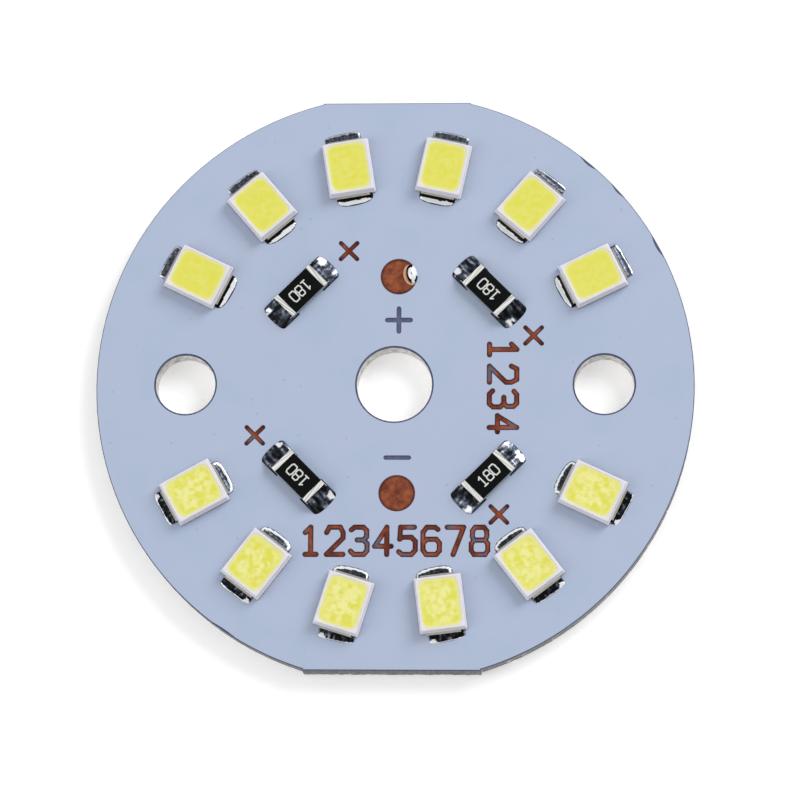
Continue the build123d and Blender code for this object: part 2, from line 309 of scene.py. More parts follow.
glint = add_node(aluminium, "MapRange", {"Value": flecks, "From Min": 0.62, "From Max": 0.72})
edge_tone = add_node(aluminium, "Mix", {0: glint, 6: torn_tone, 7: linear("#EFEEE6")}, data_type="RGBA")
drag = add_node(
    aluminium, "Mapping", {"Vector": place, "Scale": (1 / (0.12 * mm), 1 / (0.12 * mm), 1 / (1.5 * mm))}
)
streaks = add_node(aluminium, "TexNoise", {"Vector": drag, "Scale": 1.0, "Detail": 3})
burnish_tone = add_node(
    aluminium, "Mix", {0: streaks, 6: linear("#36393A"), 7: linear("#85888A")}, data_type="RGBA"
)
height = add_node(aluminium, "SeparateXYZ", {0: place})
burnish = add_node(
    aluminium,
    "MapRange",
    {"Value": height.outputs[2], "From Min": burnish_from * mm, "From Max": burnish_full * mm},
)
banded = add_node(aluminium, "Mix", {0: burnish, 6: edge_tone, 7: burnish_tone}, data_type="RGBA")
bore = add_node(aluminium, "Attribute", attribute_name="bore")
bore_tone = add_node(
    aluminium, "Mix", {0: spread, 6: linear("#B5B2AE"), 7: linear("#F1EEEA")}, data_type="RGBA"
)
cut_tone = add_node(aluminium, "Mix", {0: bore.outputs["Fac"], 6: banded, 7: bore_tone}, data_type="RGBA")
surface = add_node(aluminium, "NewGeometry")
facing = add_node(aluminium, "SeparateXYZ", {0: surface.outputs["True Normal"]})
upright = add_node(aluminium, "Math", {0: facing.outputs[2]}, operation="ABSOLUTE")
on_sheet = add_node(aluminium, "Math", {0: upright, 1: 0.8}, operation="GREATER_THAN")
tone = add_node(aluminium, "Mix", {0: on_sheet, 6: cut_tone, 7: sheet_tone}, data_type="RGBA")
rough = add_node(aluminium, "MapRange", {"Value": flecks, "To Min": 0.35, "To Max": 0.6})
bump = add_node(aluminium, "Bump", {"Height": flecks, "Strength": 0.35, "Distance": 0.03 * mm})
add_node(aluminium, None, {"Base Color": tone, "Metallic": 0.85, "Roughness": rough, "Normal": bump})
make_piece(
    "punched_disc",
    *join(base_parts),
    aluminium,
    "aluminium_base",
    ["aluminium_base"],
    crease=40,
    marks={"bore": bore_marks},
)


# The dielectric: a thin film of filled epoxy resin that bonds the copper to the aluminium and
# keeps them apart. It shows as a slate line at the edges and in the two supply signs.
def dress_node(name, material):
    """Give a node carried over from the CAD model its material."""
    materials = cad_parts[name].data.materials
    materials.clear()
    materials.append(material)


# Epoxy resin, pressed and cured: slate, clouded where its ceramic filler lies thicker
resin, place = new_material("filled epoxy resin, pressed")
cloud = add_node(resin, "TexNoise", {"Vector": place, "Scale": 1 / (0.35 * mm), "Detail": 4})
tone = add_node(resin, "Mix", {0: cloud, 6: linear("#333A52"), 7: linear("#677090")}, data_type="RGBA")
add_node(resin, None, {"Base Color": tone, "Roughness": 0.45})
dress_node("dielectric", resin)


# The copper foil, 35 um thick and etched into islands. It shows bare on the two round wire
# pads, which lie above and below the centre hole at the same distance.
pad_x, pad_y, pad_radius = 0.2, 6.45, 1.05
pad_dark_rim = 0.17

# Copper under its clear protective film: brown-red, with a darker bloom in patches, and darker
# round the edge of each wire pad. Both pads are found by one distance, with the lower one
# mirrored onto the upper one.
copper, place = new_material("copper foil, etched")
bloom = add_node(
    copper, "TexNoise", {"Vector": place, "Scale": 1 / (0.45 * mm), "Detail": 5, "Roughness": 0.6}
)
spread = add_node(copper, "MapRange", {"Value": bloom, "From Min": 0.35, "From Max": 0.66})
tone = add_node(copper, "Mix", {0: spread, 6: linear("#743828"), 7: linear("#AD6240")}, data_type="RGBA")
apart = add_node(copper, "SeparateXYZ", {0: place})
mirrored = add_node(copper, "Math", {0: apart.outputs[1]}, operation="ABSOLUTE")
upper_place = add_node(copper, "CombineXYZ", {0: apart.outputs[0], 1: mirrored})
from_middle = add_node(
    copper, "VectorMath", {0: upper_place, 1: (pad_x * mm, pad_y * mm, 0)}, operation="DISTANCE"
)
pad_edge = add_node(
    copper,
    "MapRange",
    {
        "Value": from_middle.outputs["Value"],
        "From Min": (pad_radius - pad_dark_rim) * mm,
        "From Max": pad_radius * mm,
    },
)
edged = add_node(copper, "Mix", {0: pad_edge, 6: tone, 7: linear("#4B1F1F")}, data_type="RGBA")
bump = add_node(copper, "Bump", {"Height": bloom, "Strength": 0.2, "Distance": 0.01 * mm})
add_node(copper, None, {"Base Color": edged, "Metallic": 0.7, "Roughness": 0.5, "Normal": bump})
for name in ("copper_positive", "copper_negative", "copper_links"):
    dress_node(name, copper)


# The solder mask: white epoxy ink, screened over the whole front and cured, with an opening
# over each land and wire pad, and narrow ones that draw the signs and figures. Copper or the
# slate resin shows in those, so they read brown or grey.
copper_z, land_z = 1.48, 1.515
mask_edge, hole_setback = 0.05, 0.1
land_flare, pad_flare, stroke_flare = 0.03, 0.04, 0.035

# Where the parts sit: bearings clockwise from the positive pad, in degrees. The middle LED of
# each string faces the other way round. Each LED is skewed on its lands by a few degrees.
led_ring, chip_ring = 13.25, 7.8
led_bearings = [12.2, 36.6, 61.0, 119.0, 143.4, 167.8, 192.2, 216.6, 241.0, 299.0, 323.4, 347.8]
led_turns = [0 if number % 3 == 1 else 180 for number in range(12)]
led_skews = (0, -4, -3, 4, 1, -5, -5, -1, 0, 3, 4, -3)
chip_bearings = (45, 135, 225, 315)

# A part's two lands run outwards from its middle, from the start to the end, and end in a bow.
# The bows of an LED's lands differ, towards the board's edge and towards its middle.
led_land_start, led_land_end, led_land_half = 0.85, 2.2, 1.05
chip_land_start, chip_land_end, chip_land_half = 1.0, 2.4, 0.85
outward_bow, inward_bow, chip_bow = 0.18, 0.42, 0.3
bow_power = 2.6

# Small nicks where the ink's edge chipped in handling: bearing, depth and half width
mask_nicks = ((40.5, 0.12, 0.6), (48.4, 0.1, 0.5), (61.8, 0.13, 0.7), (214.0, 0.06, 0.8))

# The print: crosses beside the resistors, lines of plain figures with their start, turn and
# pitch in the pen's grid, and the plus and minus signs of the supply, each stroke with its half
# width. A stroke over copper is brightest in its core, which stops short of its ends; round the
# core it is painted dark, as shade from the ink's walls.
cross_places = ((-2.75, 8.0), (8.12, 2.9), (-8.13, -3.03), (6.14, -7.7))
cross_reach, cross_half_width, cross_trim = 0.48, 0.115, 0.36
figure_height, figure_half_width, figure_trim = 1.6, 0.14, 0.16
figure_lines = (("12345678", -5.25, -10.05, 0, 8.75), ("1234", 5.55, 2.55, -pi / 2, 9.2))
core_share, most_trimmed = 0.4, 0.3
supply_signs = (
    ((-0.45, 3.84), (0.91, 3.84), 0.12),
    ((0.23, 3.16), (0.23, 4.52), 0.12),
    ((-0.47, -4.35), (0.89, -4.35), 0.11),
)

# Plain figures as the runs of a pen, on a grid 6 wide and 10 high
pen_runs = {
    "0": [[(1, 0), (5, 0), (6, 2), (6, 8), (5, 10), (1, 10), (0, 8), (0, 2), (1, 0)]],
    "1": [[(1, 8), (3, 10), (3, 0)], [(1, 0), (5, 0)]],
    "2": [[(0, 8), (1, 10), (5, 10), (6, 8), (6, 6), (0, 0), (6, 0)]],
    "3": [
        [(0.2, 9), (1.4, 10), (4.6, 10), (5.8, 8.8), (5.8, 6.4), (4.6, 5.3), (2.4, 5.3)],
        [(4.6, 5.3), (6, 4), (6, 1.4), (4.8, 0), (1.2, 0), (0, 1.2)],
    ],
    "4": [[(4.4, 0), (4.4, 10), (0, 3), (6, 3)]],
    "5": [
        [(5.6, 10), (0.6, 10), (0.3, 5.6), (1.4, 6.3), (4.6, 6.3)]
        + [(6, 4.8), (6, 1.6), (4.6, 0), (1.2, 0), (0, 1)]
    ],
    "6": [
        [(5.4, 9.2), (4.4, 10), (1.4, 10), (0, 8.2), (0, 1.6), (1.2, 0), (4.8, 0), (6, 1.4), (6, 4.2)],
        [(6, 4.2), (4.8, 5.6), (1.4, 5.6), (0, 4.2)],
    ],
    "7": [[(0, 10), (6, 10), (2.2, 0)]],
    "8": [
        [(1, 0), (5, 0), (6, 1.5), (6, 4), (5, 5.3), (1, 5.3), (0, 4), (0, 1.5), (1, 0)],
        [(1, 5.3), (0.4, 6.5), (0.4, 8.7), (1.4, 10), (4.6, 10), (5.6, 8.7), (5.6, 6.5), (5, 5.3)],
    ],
}


def seat(radius, bearing, turn, height):
    """Where a part sits on its ring, its X axis turned anticlockwise from outwards."""
    spot = radians(90 - bearing)
    place_on_ring = Matrix.Translation((radius * cos(spot), radius * sin(spot), height))
    return place_on_ring @ Matrix.Rotation(spot + radians(turn), 4, "Z")


def land_heading(land, side):
    """The way outwards over one of a part's two lands, side 1 or side -1."""
    return land.to_3x3() @ Vector((side, 0, 0))


def bowed_end(y, half_width, end, bow):
    """Where a land ends beside its middle line: its outer end is bowed, as its paste printed."""
    share = min(abs(y) / half_width, 1.0)
    return end - bow + bow * (1 - share**bow_power) ** (1 / bow_power)


def land_opening(land, start, end, half_width, side, bow, grow):
    """Outline of one land's opening in plan, grown all round, anticlockwise."""
    half = half_width + grow
    steps = [half * sin(radians(7.5 * step)) for step in range(-12, 13)]
    corners = [(start - grow, half), (start - grow, -half)]
    corners += [(bowed_end(y, half, end + grow, bow), y) for y in steps]
    return [tuple((land @ Vector((side * x, side * y, 0))).xy) for x, y in corners]


def stroke(start, end, half_width):
    """Outline of one straight stroke with round ends, anticlockwise in plan."""
    along = Vector(end) - Vector(start)
    slant = Vector((1, 0)).angle_signed(along) if along.length else 0
    points = []
    for centre, first in ((end, -90), (start, 90)):
        for step in range(9):
            turn = radians(first + 22.5 * step) - slant
            points.append((centre[0] + half_width * cos(turn), centre[1] + half_width * sin(turn)))
    return points


def pen_strokes(text, x, y, height, turn, pitch):
    """Straight strokes of a line of figures, from the lower left of the first. The pitch from
    figure to figure is in the pen's grid."""
    strokes = []
    for number, figure in enumerate(text):
        for run in pen_runs[figure]:
            spots = []
            for u, v in run:
                across, up = (u + pitch * number) * height / 10, v * height / 10
                spot_x = x + across * cos(turn) - up * sin(turn)
                spot_y = y + across * sin(turn) + up * cos(turn)
                spots.append((spot_x, spot_y))
            strokes += list(zip(spots, spots[1:]))
    return strokes


def nicked(points, nicks):
    """An outline knocked back at a few bearings, each by a depth over a half width."""
    dented = []
    for x, y in points:
        back = 0.0
        for bearing, depth, half_width in nicks:
            spot = Vector((sin(radians(bearing)), cos(radians(bearing)))) * board_radius
            away = (Vector((x, y)) - spot).length / half_width
            back = max(back, depth * (1 - away * away))
        dented.append((x * (1 - back / board_radius), y * (1 - back / board_radius)))
    return dented


def plate_faces(top, count):
    """Faces of a plate: its top triangles, the same ones reversed on the points that follow the
    count of top points, and the walls round its edges."""
    sides = {(face[i], face[(i + 1) % 3]) for face in top for i in range(3)}
    bottom = [tuple(i + count for i in reversed(face)) for face in top]
    walls = [(a, a + count, b + count, b) for a, b in sides if (b, a) not in sides]
    return top + bottom + walls


led_seats = [
    seat(led_ring, bearing, turn + skew, front_z)
    for bearing, turn, skew in zip(led_bearings, led_turns, led_skews)
]
led_lands = [seat(led_ring, bearing, turn, land_z) for bearing, turn in zip(led_bearings, led_turns)]
chip_lands = [seat(chip_ring, bearing, -90, land_z) for bearing in chip_bearings]

crosses = []
for x, y in cross_places:
    left, right, low, high = x - cross_reach, x + cross_reach, y - cross_reach, y + cross_reach
    crosses += [((left, low), (right, high)), ((left, high), (right, low))]
figures = []
for text, x, y, turn, pitch in figure_lines:
    figures += pen_strokes(text, x, y, figure_height, turn, pitch)

outlines = [nicked(board_outline(mask_edge), mask_nicks)]
outlines += [circle(x, y, radius + hole_setback) for x, y, radius in hole_places]
holes = set(range(1, len(outlines)))
floors, copper_floors, cores = set(), set(), set()

# Each opening is two outlines: its mouth at the front of the ink, and its floor inside that
for lands, start, end, half_width, bows in (
    (led_lands, led_land_start, led_land_end, led_land_half, (outward_bow, inward_bow)),
    (chip_lands, chip_land_start, chip_land_end, chip_land_half, (chip_bow, chip_bow)),
):
    for land in lands:
        for side in (1, -1):
            bow = bows[0] if land_heading(land, side).dot(land.translation) > 0 else bows[1]
            outlines.append(land_opening(land, start, end, half_width, side, bow, land_flare))
            floors.add(len(outlines))
            outlines.append(land_opening(land, start, end, half_width, side, bow, 0.0))
for y in (pad_y, -pad_y):
    outlines.append(circle(pad_x, y, pad_radius + pad_flare))
    floors.add(len(outlines))
    outlines.append(circle(pad_x, y, pad_radius))

# A stroke over copper has a third outline, its bright core
for runs, half_width, longest_trim in (
    (crosses, cross_half_width, cross_trim),
    (figures, figure_half_width, figure_trim),
):
    for start, end in runs:
        outlines.append(stroke(start, end, half_width + stroke_flare))
        copper_floors.add(len(outlines))
        outlines.append(stroke(start, end, half_width))
        along = Vector(end) - Vector(start)
        trim = along.normalized() * min(longest_trim, most_trimmed * along.length)
        cores.add(len(outlines))
        outlines.append(stroke(Vector(start) + trim, Vector(end) - trim, half_width * core_share))
for start, end, half_width in supply_signs:
    outlines.append(stroke(start, end, half_width + stroke_flare))
    floors.add(len(outlines))
    outlines.append(stroke(start, end, half_width))
floors |= copper_floors

spots, triangles = cut_sheet(outlines)
low = {i for triangle, inside in triangles if inside & floors for i in triangle}
skin = [t for t, inside in triangles if 0 in inside and not inside & holes and not inside & floors]
points = [(x, y, land_z if i in low else front_z) for i, (x, y) in enumerate(spots)]
points += [(x, y, copper_z) for x, y in spots]
# Painted shade for the ink's walls in the openings: 1 at their foot, 0 at the front of the ink
wall_shade = [1.0 if i in low else 0.0 for i in range(len(spots))] + [1.0] * len(spots)

# White mask ink, screened: matt, a cool pale grey-blue under this light, faintly clouded, with
# the fine orange peel of the screen and a few specks of dust, which lie about a millimetre
# apart. Its walls in the openings are painted dark, as painted shade in those narrow recesses.
ink, place = new_material("white solder mask ink, screened")
cloud = add_node(ink, "TexNoise", {"Vector": place, "Scale": 1 / (2.2 * mm), "Detail": 4})
tone = add_node(ink, "Mix", {0: cloud, 6: linear("#A9BCD4"), 7: linear("#B8C0D9")}, data_type="RGBA")
dust = add_node(ink, "TexVoronoi", {"Vector": place, "Scale": 1 / (1.3 * mm)}, feature="F1")
speck = add_node(
    ink,
    "MapRange",
    {"Value": dust.outputs["Distance"], "From Min": 0.02, "From Max": 0.07, "To Min": 0.35, "To Max": 0.0},
)
specked = add_node(ink, "Mix", {0: speck, 6: tone, 7: linear("#77809C")}, data_type="RGBA")
# The walls in the openings darkened as painted shade
wall = add_node(ink, "Attribute", attribute_name="wall_shade")
shaded = add_node(ink, "Mix", {0: wall.outputs["Fac"], 6: specked, 7: linear("#4B3A4E")}, data_type="RGBA")
orange_peel = add_node(ink, "TexNoise", {"Vector": place, "Scale": 1 / (0.25 * mm), "Detail": 3})
bump = add_node(ink, "Bump", {"Height": orange_peel, "Strength": 0.12, "Distance": 0.01 * mm})
add_node(ink, None, {"Base Color": shaded, "Roughness": 0.5, "IOR": 1.5, "Normal": bump})
make_piece(
    "printed_mask",
    points,
    plate_faces(skin, len(spots)),
    ink,
    "solder_mask",
    ["solder_mask"],
    crease=20,
    marks={"wall_shade": wall_shade},
)

# The copper that shows in the figures and crosses: a skin a few microns proud of the foil
shown = [(triangle, inside) for triangle, inside in triangles if inside & copper_floors]
middle = {i for triangle, inside in shown if inside & cores for i in triangle}
used = sorted({i for triangle, _ in shown for i in triangle})
order = {i: number for number, i in enumerate(used)}
shown_top, shown_foot = land_z + 0.002, copper_z + 0.001
points = [(*spots[i], shown_top) for i in used] + [(*spots[i], shown_foot) for i in used]
faces = [tuple(order[i] for i in triangle) for triangle, _ in shown]
# Painted shade: 1 at the edges of each stroke, 0 in its core
edge_shade_marks = [0.0 if i in middle else 1.0 for i in used] + [1.0] * len(used)

# Copper in the narrow openings: brown in the middle, painted purple-black at the edges as shade
# from the ink's walls, and slate where a stroke runs off the copper onto the resin
marks_copper, place = new_material("copper foil, stained")
patches = add_node(marks_copper, "TexNoise", {"Vector": place, "Scale": 1 / (1.1 * mm), "Detail": 3})
spread = add_node(marks_copper, "MapRange", {"Value": patches, "From Min": 0.4, "From Max": 0.6})
tone = add_node(
    marks_copper, "Mix", {0: spread, 6: linear("#702D18"), 7: linear("#A85630")}, data_type="RGBA"
)
off_copper = add_node(marks_copper, "MapRange", {"Value": patches, "From Min": 0.56, "From Max": 0.62})
mixed = add_node(marks_copper, "Mix", {0: off_copper, 6: tone, 7: linear("#6A6470")}, data_type="RGBA")
edge = add_node(marks_copper, "Attribute", attribute_name="rim")
# The edges of the strokes darkened as painted shade
darkened = add_node(
    marks_copper, "Mix", {0: edge.outputs["Fac"], 6: mixed, 7: linear("#3C1720")}, data_type="RGBA"
)
add_node(marks_copper, None, {"Base Color": darkened, "Metallic": 0.5, "Roughness": 0.5})
make_piece(
    "copper_in_marks",
    points,
    plate_faces(faces, len(used)),
    marks_copper,
    "copper",
    crease=20,
    marks={"rim": edge_shade_marks},
)


# The LEDs: a white housing of filled polyamide, moulded round two silver-plated leads. Its
# upper part is drawn in a little at the parting line, and its well is filled with silicone.
led_length, led_width, led_height = 3.25, 2.75, 0.75
well_length, well_width, well_corner, well_floor = 2.84, 2.32, 0.45, 0.2
draft, well_draft = tan(radians(8)), tan(radians(16))

# Levels of the housing's outside, from its foot up: how much smaller than the foot it is, the
# corners' radius and the height. The parting line is the step at 0.3, and the rim is rounded.
housing_levels = (
    (0.0, 0.05, 0.0),
    (0.0, 0.05, 0.285),
    (0.03, 0.05, 0.3),
    (0.06, 0.05, 0.305),
    (0.06 + 0.84 * draft, 0.06, 0.72),
    (0.08 + 0.9 * draft, 0.06, 0.742),
    (0.13 + 0.9 * draft, 0.06, led_height),
)

# Levels of the well from its lip down: how much smaller than its mouth it is, and the height
well_levels = ((-0.04, led_height), (0.0, 0.735), (2 * well_draft * (led_height - well_floor), well_floor))

# The filling: its skin lies a little below the lip and climbs the wall at its edge. In the lower
# LEDs it set in lumps, in the upper ones almost smooth.
fill_z, fill_climb, fill_foot = 0.712, 0.018, 0.4
fill_shares = (0.995, 0.97, 0.92, 0.84, 0.74, 0.62, 0.5, 0.37, 0.24, 0.12, 0.04)
lump_size, lump_height = 0.45, 0.02
lower_leds, smooth_share = range(4, 10), 0.25


def rounded_rectangle(length, width, corner, height, steps=6):
    """A rectangle with round corners, anticlockwise, as one ring at a height."""
    ring = []
    for quarter, (side_x, side_y) in enumerate(((1, 1), (-1, 1), (-1, -1), (1, -1))):
        for step in range(steps + 1):
            turn = (quarter + step / steps) * pi / 2
            x = side_x * (length / 2 - corner) + corner * cos(turn)
            y = side_y * (width / 2 - corner) + corner * sin(turn)
            ring.append((x, y, height))
    return ring


def placed(points, spot):
    """Points carried to where a part sits."""
    return [tuple(spot @ Vector(point)) for point in points]


# White polyamide, moulded: satin, a little cool, with the fine spark texture of its mould. At
# its foot it is painted grey, as shade where it stands on the board.
polyamide, place = new_material("white polyamide, moulded")
foot_shade_full, foot_shade_none = 0.06, 0.16
mould = add_node(polyamide, "TexNoise", {"Vector": place, "Scale": 1 / (0.6 * mm), "Detail": 3})
tone = add_node(polyamide, "Mix", {0: mould, 6: linear("#DFDCE3"), 7: linear("#EEEBF0")}, data_type="RGBA")
height = add_node(polyamide, "SeparateXYZ", {0: place})
foot = add_node(
    polyamide,
    "MapRange",
    {
        "Value": height.outputs[2],
        "From Min": (front_z + foot_shade_full) * mm,
        "From Max": (front_z + foot_shade_none) * mm,
        "To Min": 1.0,
        "To Max": 0.0,
    },
)
# Painted shade at the housing's foot
foot_shaded = add_node(polyamide, "Mix", {0: foot, 6: tone, 7: linear("#6F6A7C")}, data_type="RGBA")
spark = add_node(polyamide, "TexNoise", {"Vector": place, "Scale": 1 / (0.06 * mm), "Detail": 2})
bump = add_node(polyamide, "Bump", {"Height": spark, "Strength": 0.15, "Distance": 0.005 * mm})
add_node(polyamide, None, {"Base Color": foot_shaded, "Roughness": 0.42, "IOR": 1.53, "Normal": bump})

# Silicone with phosphor powder, cast: soft yellow and a little glossy, with paler clots of
# powder, and pale at its edge, where it thins out over the white wall. A grain of the powder is
# about 0.015 mm, and is drawn at 0.08 mm, so that it shows.
silicone, place = new_material("phosphor silicone, cast")
clots = add_node(
    silicone, "TexNoise", {"Vector": place, "Scale": 1 / (0.3 * mm), "Detail": 2, "Roughness": 0.4}
)
spread = add_node(silicone, "MapRange", {"Value": clots, "From Min": 0.36, "From Max": 0.6})
lumpy = add_node(silicone, "Attribute", attribute_name="lumps")
amount = add_node(silicone, "Math", {0: spread, 1: lumpy.outputs["Fac"]}, operation="MULTIPLY")
tone = add_node(silicone, "Mix", {0: amount, 6: linear("#E4E158"), 7: linear("#F3F09C")}, data_type="RGBA")
thin = add_node(silicone, "Attribute", attribute_name="thin")
edged = add_node(silicone, "Mix", {0: thin.outputs["Fac"], 6: tone, 7: linear("#F4F2C6")}, data_type="RGBA")
powder = add_node(silicone, "TexNoise", {"Vector": place, "Scale": 1 / (0.08 * mm), "Detail": 2})
bump = add_node(silicone, "Bump", {"Height": powder, "Strength": 0.15, "Distance": 0.006 * mm})
add_node(silicone, None, {"Base Color": edged, "Roughness": 0.35, "IOR": 1.41, "Normal": bump})

# Silver plate: bright, thin, and faintly yellowed in patches
silver, place = new_material("silver plate")
tarnish = add_node(silver, "TexNoise", {"Vector": place, "Scale": 1 / (0.3 * mm), "Detail": 3})
tone = add_node(silver, "Mix", {0: tarnish, 6: linear("#BDB7A6"), 7: linear("#E9E7E2")}, data_type="RGBA")
add_node(silver, None, {"Base Color": tone, "Metallic": 1.0, "Roughness": 0.25})

# Sapphire of the dies, sawn: pale blue and glossy, sealed in the silicone
sapphire, place = new_material("sapphire, sawn")
cloud = add_node(sapphire, "TexNoise", {"Vector": place, "Scale": 1 / (0.2 * mm)})
tone = add_node(sapphire, "Mix", {0: cloud, 6: linear("#8FA0B8"), 7: linear("#B4C2D6")}, data_type="RGBA")
add_node(sapphire, None, {"Base Color": tone, "Roughness": 0.2, "IOR": 1.77})
dress_node("led_dies", sapphire)

housing_rings = [
    rounded_rectangle(led_length - less, led_width - less, corner, z) for less, corner, z in housing_levels
]
for less, z in well_levels:
    corner = well_corner - max(less, 0.0) / 2
    housing_rings.append(rounded_rectangle(well_length - less, well_width - less, corner, z))
housing_points, housing_faces = loft(housing_rings, closed=True)

for number, spot in enumerate(led_seats, start=1):
    make_piece(
        f"moulded_housing_{number:02d}",
        placed(housing_points, spot),
        housing_faces,
        polyamide,
        "led_housing",
        [f"led_{number:02d}_housing"],
    )

    roughness = 1.0 if number in lower_leds else smooth_share
    rings = [rounded_rectangle(well_length - 0.2, well_width - 0.2, well_corner - 0.1, fill_foot)]
    lumps = [0.0] * len(rings[0])
    thinned = [1.0] * len(rings[0])
    for share in fill_shares:
        level = fill_z + fill_climb * share**8
        ring = []
        for x, y, _ in rounded_rectangle(well_length * share, well_width * share, well_corner * share, level):
            world_x, world_y, _ = spot @ Vector((x, y, 0))
            lump = noise.noise(Vector((world_x / lump_size, world_y / lump_size, number)))
            ring.append((x, y, level + lump_height * roughness * lump * (1 - share**6)))
            lumps.append(roughness * (1 - share**5))
            thinned.append(share**20)
        rings.append(ring)
    points, faces = loft(rings, closed=True)
    make_piece(
        f"cast_phosphor_{number:02d}",
        placed(points, spot),
        faces,
        silicone,
        "phosphor",
        [f"led_{number:02d}_phosphor"],
        crease=60,
        marks={"lumps": lumps, "thin": thinned},
    )
    dress_node(f"led_{number:02d}_leads", silver)


# The stubs of the tie bars that held each housing in its strip: two on each long side, of the
# leads' own plated metal, cut off short
stub_length, stub_width, stub_corner = 0.2, 0.1, 0.02
stub_foot, stub_top = 0.12, 0.28
stub_x, stub_y = 0.8, 1.36

stub_parts = []
for spot in led_seats:
    for y in (stub_y, -stub_y):
        for x in (-stub_x, stub_x):
            plan = rounded_rectangle(stub_length, stub_width, stub_corner, stub_foot)
            rings = [[(x + u, y + v, z) for u, v, _ in plan] for z in (stub_foot, stub_top)]
            points, faces = loft(rings, closed=True)
            stub_parts.append((placed(points, spot), faces))
make_piece("cut_tie_bars", *join(stub_parts), silver, "led_leads", crease=30)


# Solder: tin that ran between each lead and its land and set there. It climbs the end of the
# lead in a hollow fillet and swells a little at the toe. The black bands on the fillets and the
# bright toes are painted reflections of the dark room and the lamps, and the pools end in the bow
# that their paste was printed in.
film, joint_start, lead_end, fillet_reach = 0.006, 1.2, 1.74, 0.3
toe_swell, toe_height, fillet_height = 0.15, 0.05, 0.14
joint_columns, led_joint_rows, chip_joint_rows = 30, 26, 42

# Where the painted reflection of the lamps starts on an LED's fillet, and the painted highlight
# near a corner of its toe, its size as a radius squared
toe_start, glint_x, glint_y, glint_size = 1.91, 2.06, 0.85, 0.025

# Tin solder, reflowed: bright, and broken by fine ripples 0.15 mm apart. The plain studio gives
# it little to mirror, so the mark "shade" paints its reflections into its colour: about -0.3 for
# a lamp, 0.8 for the dark.
solder, place = new_material("tin solder, reflowed")
ripple = add_node(
    solder, "TexNoise", {"Vector": place, "Scale": 1 / (0.15 * mm), "Detail": 4, "Roughness": 0.6}
)
shade = add_node(solder, "Attribute", attribute_name="shade")
jagged = add_node(solder, "Math", {0: ripple, 1: 0.6, 2: shade.outputs["Fac"]}, operation="MULTIPLY_ADD")
ramp = add_node(solder, "ValToRGB", {"Fac": jagged})
ramp.color_ramp.elements[0].position = 0.38
ramp.color_ramp.elements[0].color = linear("#F6F7F8")
ramp.color_ramp.elements[1].position = 0.98
ramp.color_ramp.elements[1].color = linear("#101113")
for position, colour in ((0.52, "#C3C8D0"), (0.68, "#636A78"), (0.82, "#33373F")):
    ramp.color_ramp.elements.new(position).color = linear(colour)
rough = add_node(solder, "MapRange", {"Value": ripple, "To Min": 0.2, "To Max": 0.5})
# Less metallic where the shade paints a lamp's reflection, so that the painted highlight shows white
metallic_by_shade = add_node(
    solder, "MapRange", {"Value": jagged, "From Min": 0.3, "From Max": 0.6, "To Min": 0.25, "To Max": 0.9}
)
bump = add_node(solder, "Bump", {"Height": ripple, "Strength": 0.3, "Distance": 0.02 * mm})
add_node(solder, None, {"Base Color": ramp, "Metallic": metallic_by_shade, "Roughness": rough, "Normal": bump})


def swell(distance, reach):
    """Round shoulder of molten metal: none at its edge, full from the reach inwards."""
    share = min(max(distance / reach, 0.0), 1.0)
    return sqrt(1 - (1 - share) ** 2)


def solder_joint(start, end, half_width, rows, form, **facts):
    """One joint over a land, closed below, and its shade at each point. The form gives the height
    and the shade at a spot of the land, from the facts of this joint."""
    columns = joint_columns
    wide = columns + 1
    top, shades = [], []
    for row in range(rows + 1):
        for column in range(wide):
            x = start + (end - start) * row / rows
            y = half_width * (2 * column / columns - 1)
            z, shade = form(x, y, **facts)
            top.append((x, y, z))
            shades.append(shade)
    bottom = [(x, y, 0.0) for x, y, _ in top]
    faces = []
    for row in range(rows):
        for column in range(columns):
            a = row * wide + column
            faces.append((a, a + wide, a + wide + 1, a + 1))
    edge = [row * wide for row in range(rows + 1)]
    edge += [rows * wide + column for column in range(1, wide)]
    edge += [row * wide + columns for row in range(rows - 1, -1, -1)]
    edge += list(range(columns - 1, 0, -1))
    for a, b in zip(edge, edge[1:] + edge[:1]):
        faces.append((a, a + len(top), b + len(top), b))
    faces.append(tuple(i + len(top) for i in reversed(edge)))
    return top + bottom, faces, shades + [0.5] * len(bottom)


def carried(points, land, side):
    """Points of a joint carried to its land. The joint at the other end is turned round."""
    turned = land @ Matrix.Rotation(0 if side > 0 else pi, 4, "Z")
    return [tuple(turned @ Vector(point)) for point in points]


def led_joint_form(x, y, number, side, skew, bow, upper, down):
    """Height and shade of an LED's joint. The shade follows the photograph in four kinds, for the
    upper and lower half of the board and for a joint that heads up or down it."""
    key = number * 3.1 + side
    turn = -radians(skew)
    along = x * cos(turn) - y * sin(turn)
    wander = noise.noise(Vector((y * 2.5, key, 0)))
    streak = noise.noise(Vector((y * 9, x * 4, key)))
    edge = min(led_land_half - abs(y), bowed_end(y, led_land_half, led_land_end, bow) - x)
    climb = max(0.0, 1 - max(0.0, along - lead_end + 0.02 * wander) / fillet_reach)
    z = film + swell(edge, toe_swell) * (toe_height + fillet_height * climb * climb)
    if upper and not down:
        shade = 0.44 + 0.12 * streak if edge > 0.07 + 0.04 * wander else 0.2
    elif upper:
        shade = 0.72 if along < toe_start + 0.05 * wander else -0.25
        shade = 0.5 if edge < 0.04 else shade
    elif not down:
        shade = 0.5 + 0.1 * streak if edge > 0.15 + 0.05 * wander else -0.1
        shade = 0.4 if edge < 0.03 else shade
    else:
        shade = 0.68 + 0.55 * streak if edge > 0.06 else 0.1
        shade = -0.25 if (x - glint_x) ** 2 + (y - glint_y * side) ** 2 < glint_size else shade
    return z, shade


